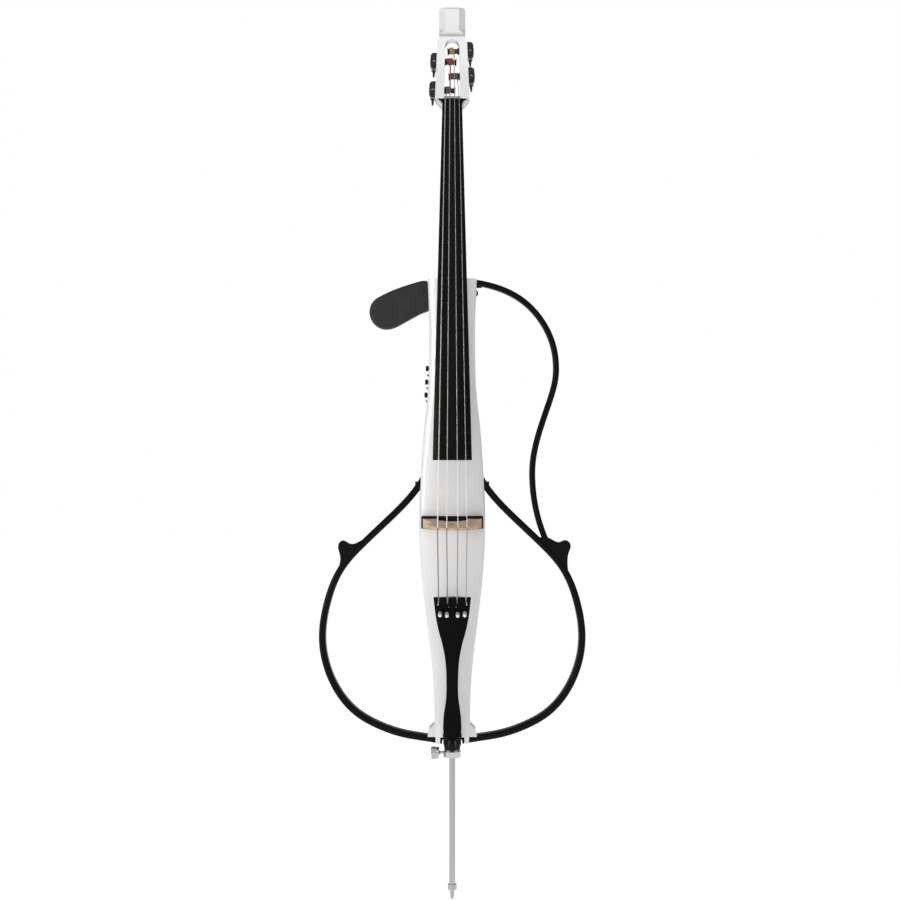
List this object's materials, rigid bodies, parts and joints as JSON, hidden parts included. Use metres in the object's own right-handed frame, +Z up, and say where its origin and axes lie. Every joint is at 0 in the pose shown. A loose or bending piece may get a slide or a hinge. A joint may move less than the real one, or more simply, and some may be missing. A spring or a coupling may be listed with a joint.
{
  "type": "electric cello",
  "caption": "Electric frame cello: a slim solid body with neck, bridge and tailpiece, open bout outlines on both sides, a chest rest and a sliding endpin.",
  "frame": {"origin": "the flat end of the endpin's tip, where it stands on the floor", "axes": "+Z up along the endpin, -Y towards the strings and the listener's view of the front, +X to the right seen from the front"},
  "size_m": [0.4312, 0.1685, 1.45],
  "materials": {
    "white_lacquer": "pearl white lacquer",
    "ebony": "satin",
    "maple": "satin",
    "black_satin": "satin",
    "frame_black": "satin",
    "pad_rubber": "matt",
    "tuner_black": "satin",
    "steel": "satin",
    "chrome": "polished",
    "string_metal": "wound",
    "circuit": "coated",
    "cell": "gloss",
    "grey_plastic": "matt",
    "cord": "satin",
    "rubber_tip": "matt"
  },
  "bodies": {
    "instrument": {"body": "white_lacquer", "back_cover": "white_lacquer", "battery_holder": "black_satin", "batteries": "cell", "circuit_board": "circuit", "control_panel": "white_lacquer", "jack_panel": "black_satin", "neck": "white_lacquer", "fingerboard": "ebony", "nut": "ebony", "tuner_screws": "tuner_black", "bridge": "maple", "pickup_base": "black_satin", "piezo_pickup": "grey_plastic", "tailpiece": "black_satin", "tail_cord": "cord", "saddle": "black_satin", "endpin_socket": "black_satin", "endpin_collar": "chrome", "tuner_plate_1": "tuner_black", "tuner_plate_2": "tuner_black", "tuner_plate_3": "tuner_black", "tuner_plate_4": "tuner_black", "string_c": "string_metal", "string_g": "string_metal", "string_d": "string_metal", "string_a": "string_metal"},
    "endpin": {"endpin_rod": "steel", "endpin_tip": "steel"},
    "thumb_screw": {"endpin_thumb_screw": "chrome"},
    "battery_lid": {"battery_door": "white_lacquer"},
    "left_bout": {"left_frame": "frame_black"},
    "right_bout": {"right_frame": "frame_black"},
    "chest_rest": {"chest_pad": "pad_rubber"},
    "knob_1": {"control_knob_1": "black_satin"},
    "button_1": {"push_button_1": "grey_plastic"},
    "knob_2": {"control_knob_2": "black_satin"},
    "button_2": {"push_button_2": "grey_plastic"},
    "knob_3": {"control_knob_3": "black_satin"},
    "button_3": {"push_button_3": "grey_plastic"},
    "post_1": {"string_post_1": "tuner_black"},
    "key_1": {"tuner_key_1": "tuner_black"},
    "fine_screw_1": {"fine_tuner_screw_1": "chrome"},
    "fine_lever_1": {"fine_tuner_lever_1": "steel"},
    "post_2": {"string_post_2": "tuner_black"},
    "key_2": {"tuner_key_2": "tuner_black"},
    "fine_screw_2": {"fine_tuner_screw_2": "chrome"},
    "fine_lever_2": {"fine_tuner_lever_2": "steel"},
    "post_3": {"string_post_3": "tuner_black"},
    "key_3": {"tuner_key_3": "tuner_black"},
    "fine_screw_3": {"fine_tuner_screw_3": "chrome"},
    "fine_lever_3": {"fine_tuner_lever_3": "steel"},
    "post_4": {"string_post_4": "tuner_black"},
    "key_4": {"tuner_key_4": "tuner_black"},
    "fine_screw_4": {"fine_tuner_screw_4": "chrome"},
    "fine_lever_4": {"fine_tuner_lever_4": "steel"},
    "upper_lock": {"upper_lock_knob": "black_satin"},
    "pad_lock": {"pad_lock_knob": "black_satin"},
    "left_lock": {"left_lock_knob": "black_satin"},
    "right_lock": {"right_lock_knob": "black_satin"}
  },
  "joints": [
    {"name": "endpin_slide", "type": "slide", "parent": "instrument", "child": "endpin", "axis": [0, 0, 1], "range_m": [-0.1, 0.195]},
    {"name": "thumb_screw_turn", "type": "hinge", "parent": "instrument", "child": "thumb_screw", "pos_m": [0, 0, 0.2366], "axis": [1, 0, 0], "continuous": true},
    {"name": "battery_lid_hinge", "type": "hinge", "parent": "instrument", "child": "battery_lid", "pos_m": [0, 0.0298, 0.716], "axis": [-1, 0, 0], "range_deg": [0, 95]},
    {"name": "left_bout_slide", "type": "slide", "parent": "instrument", "child": "left_bout", "axis": [-1, 0, 0], "range_m": [0, 0.06]},
    {"name": "right_bout_slide", "type": "slide", "parent": "instrument", "child": "right_bout", "axis": [1, 0, 0], "range_m": [0, 0.06]},
    {"name": "chest_rest_slide", "type": "slide", "parent": "instrument", "child": "chest_rest", "axis": [-1, 0, 0], "range_m": [0, 0.04]},
    {"name": "control_knob_1_turn", "type": "hinge", "parent": "instrument", "child": "knob_1", "pos_m": [-0.038, 0.001, 0.859], "axis": [-1, 0, 0], "range_deg": [-140, 140]},
    {"name": "control_knob_2_turn", "type": "hinge", "parent": "instrument", "child": "knob_2", "pos_m": [-0.038, 0.001, 0.837], "axis": [-1, 0, 0], "range_deg": [-140, 140]},
    {"name": "control_knob_3_turn", "type": "hinge", "parent": "instrument", "child": "knob_3", "pos_m": [-0.038, 0.001, 0.816], "axis": [-1, 0, 0], "range_deg": [-140, 140]},
    {"name": "push_button_1_press", "type": "slide", "parent": "instrument", "child": "button_1", "axis": [1, 0, 0], "range_m": [0, 0.001], "stiffness_N_per_m": 400},
    {"name": "push_button_2_press", "type": "slide", "parent": "instrument", "child": "button_2", "axis": [1, 0, 0], "range_m": [0, 0.001], "stiffness_N_per_m": 400},
    {"name": "push_button_3_press", "type": "slide", "parent": "instrument", "child": "button_3", "axis": [1, 0, 0], "range_m": [0, 0.001], "stiffness_N_per_m": 400},
    {"name": "tuner_key_1_turn", "type": "hinge", "parent": "instrument", "child": "key_1", "pos_m": [-0.03204, 0.019, 1.30429], "axis": [0, 1, 0], "continuous": true},
    {"name": "string_post_1_turn", "type": "hinge", "parent": "instrument", "child": "post_1", "pos_m": [-0.02739, 0.019, 1.3137], "axis": [-0.9991, 0, 0.0421], "continuous": true},
    {"name": "tuner_key_2_turn", "type": "hinge", "parent": "instrument", "child": "key_2", "pos_m": [-0.03009, 0.019, 1.35059], "axis": [0, 1, 0], "continuous": true},
    {"name": "string_post_2_turn", "type": "hinge", "parent": "instrument", "child": "post_2", "pos_m": [-0.02544, 0.019, 1.36], "axis": [-0.9991, 0, 0.0421], "continuous": true},
    {"name": "tuner_key_3_turn", "type": "hinge", "parent": "instrument", "child": "key_3", "pos_m": [0.02935, 0.019, 1.36809], "axis": [0, 1, 0], "continuous": true},
    {"name": "string_post_3_turn", "type": "hinge", "parent": "instrument", "child": "post_3", "pos_m": [0.0247, 0.019, 1.3775], "axis": [0.9991, 0, 0.0421], "continuous": true},
    {"name": "tuner_key_4_turn", "type": "hinge", "parent": "instrument", "child": "key_4", "pos_m": [0.03108, 0.019, 1.32699], "axis": [0, 1, 0], "continuous": true},
    {"name": "string_post_4_turn", "type": "hinge", "parent": "instrument", "child": "post_4", "pos_m": [0.02643, 0.019, 1.3364], "axis": [0.9991, 0, 0.0421], "continuous": true},
    {"name": "fine_tuner_1_turn", "type": "hinge", "parent": "instrument", "child": "fine_screw_1", "pos_m": [-0.0193, -0.09316, 0.47058], "axis": [0, -0.9793, -0.2026], "range_deg": [-720, 720]},
    {"name": "fine_lever_1_tilt", "type": "hinge", "parent": "instrument", "child": "fine_lever_1", "pos_m": [-0.0204, -0.08203, 0.48097], "axis": [1, 0, 0], "range_deg": [-2.5, 2.5]},
    {"name": "fine_tuner_2_turn", "type": "hinge", "parent": "instrument", "child": "fine_screw_2", "pos_m": [-0.0084, -0.09316, 0.47058], "axis": [0, -0.9793, -0.2026], "range_deg": [-720, 720]},
    {"name": "fine_lever_2_tilt", "type": "hinge", "parent": "instrument", "child": "fine_lever_2", "pos_m": [-0.00795, -0.08203, 0.48097], "axis": [1, 0, 0], "range_deg": [-2.5, 2.5]},
    {"name": "fine_tuner_3_turn", "type": "hinge", "parent": "instrument", "child": "fine_screw_3", "pos_m": [0.0084, -0.09316, 0.47058], "axis": [0, -0.9793, -0.2026], "range_deg": [-720, 720]},
    {"name": "fine_lever_3_tilt", "type": "hinge", "parent": "instrument", "child": "fine_lever_3", "pos_m": [0.00795, -0.08203, 0.48097], "axis": [1, 0, 0], "range_deg": [-2.5, 2.5]},
    {"name": "fine_tuner_4_turn", "type": "hinge", "parent": "instrument", "child": "fine_screw_4", "pos_m": [0.0193, -0.09316, 0.47058], "axis": [0, -0.9793, -0.2026], "range_deg": [-720, 720]},
    {"name": "fine_lever_4_tilt", "type": "hinge", "parent": "instrument", "child": "fine_lever_4", "pos_m": [0.0204, -0.08203, 0.48097], "axis": [1, 0, 0], "range_deg": [-2.5, 2.5]},
    {"name": "upper_lock_turn", "type": "hinge", "parent": "instrument", "child": "upper_lock", "pos_m": [0.0358, 0.02, 0.9835], "axis": [0, 1, 0], "continuous": true},
    {"name": "pad_lock_turn", "type": "hinge", "parent": "instrument", "child": "pad_lock", "pos_m": [-0.033, 0.02, 0.978], "axis": [0, 1, 0], "continuous": true},
    {"name": "left_lock_turn", "type": "hinge", "parent": "instrument", "child": "left_lock", "pos_m": [-0.024, 0.02, 0.2595], "axis": [0, 1, 0], "continuous": true},
    {"name": "right_lock_turn", "type": "hinge", "parent": "instrument", "child": "right_lock", "pos_m": [0.024, 0.02, 0.2595], "axis": [0, 1, 0], "continuous": true}
  ],
  "couplings": [
    {"joint": "string_post_1_turn", "follows": "tuner_key_1_turn", "ratio": -0.071429},
    {"joint": "string_post_2_turn", "follows": "tuner_key_2_turn", "ratio": -0.071429},
    {"joint": "string_post_3_turn", "follows": "tuner_key_3_turn", "ratio": -0.071429},
    {"joint": "string_post_4_turn", "follows": "tuner_key_4_turn", "ratio": -0.071429},
    {"joint": "fine_lever_1_tilt", "follows": "fine_tuner_1_turn", "ratio": 0.0034722},
    {"joint": "fine_lever_2_tilt", "follows": "fine_tuner_2_turn", "ratio": 0.0034722},
    {"joint": "fine_lever_3_tilt", "follows": "fine_tuner_3_turn", "ratio": 0.0034722},
    {"joint": "fine_lever_4_tilt", "follows": "fine_tuner_4_turn", "ratio": 0.0034722}
  ]
}
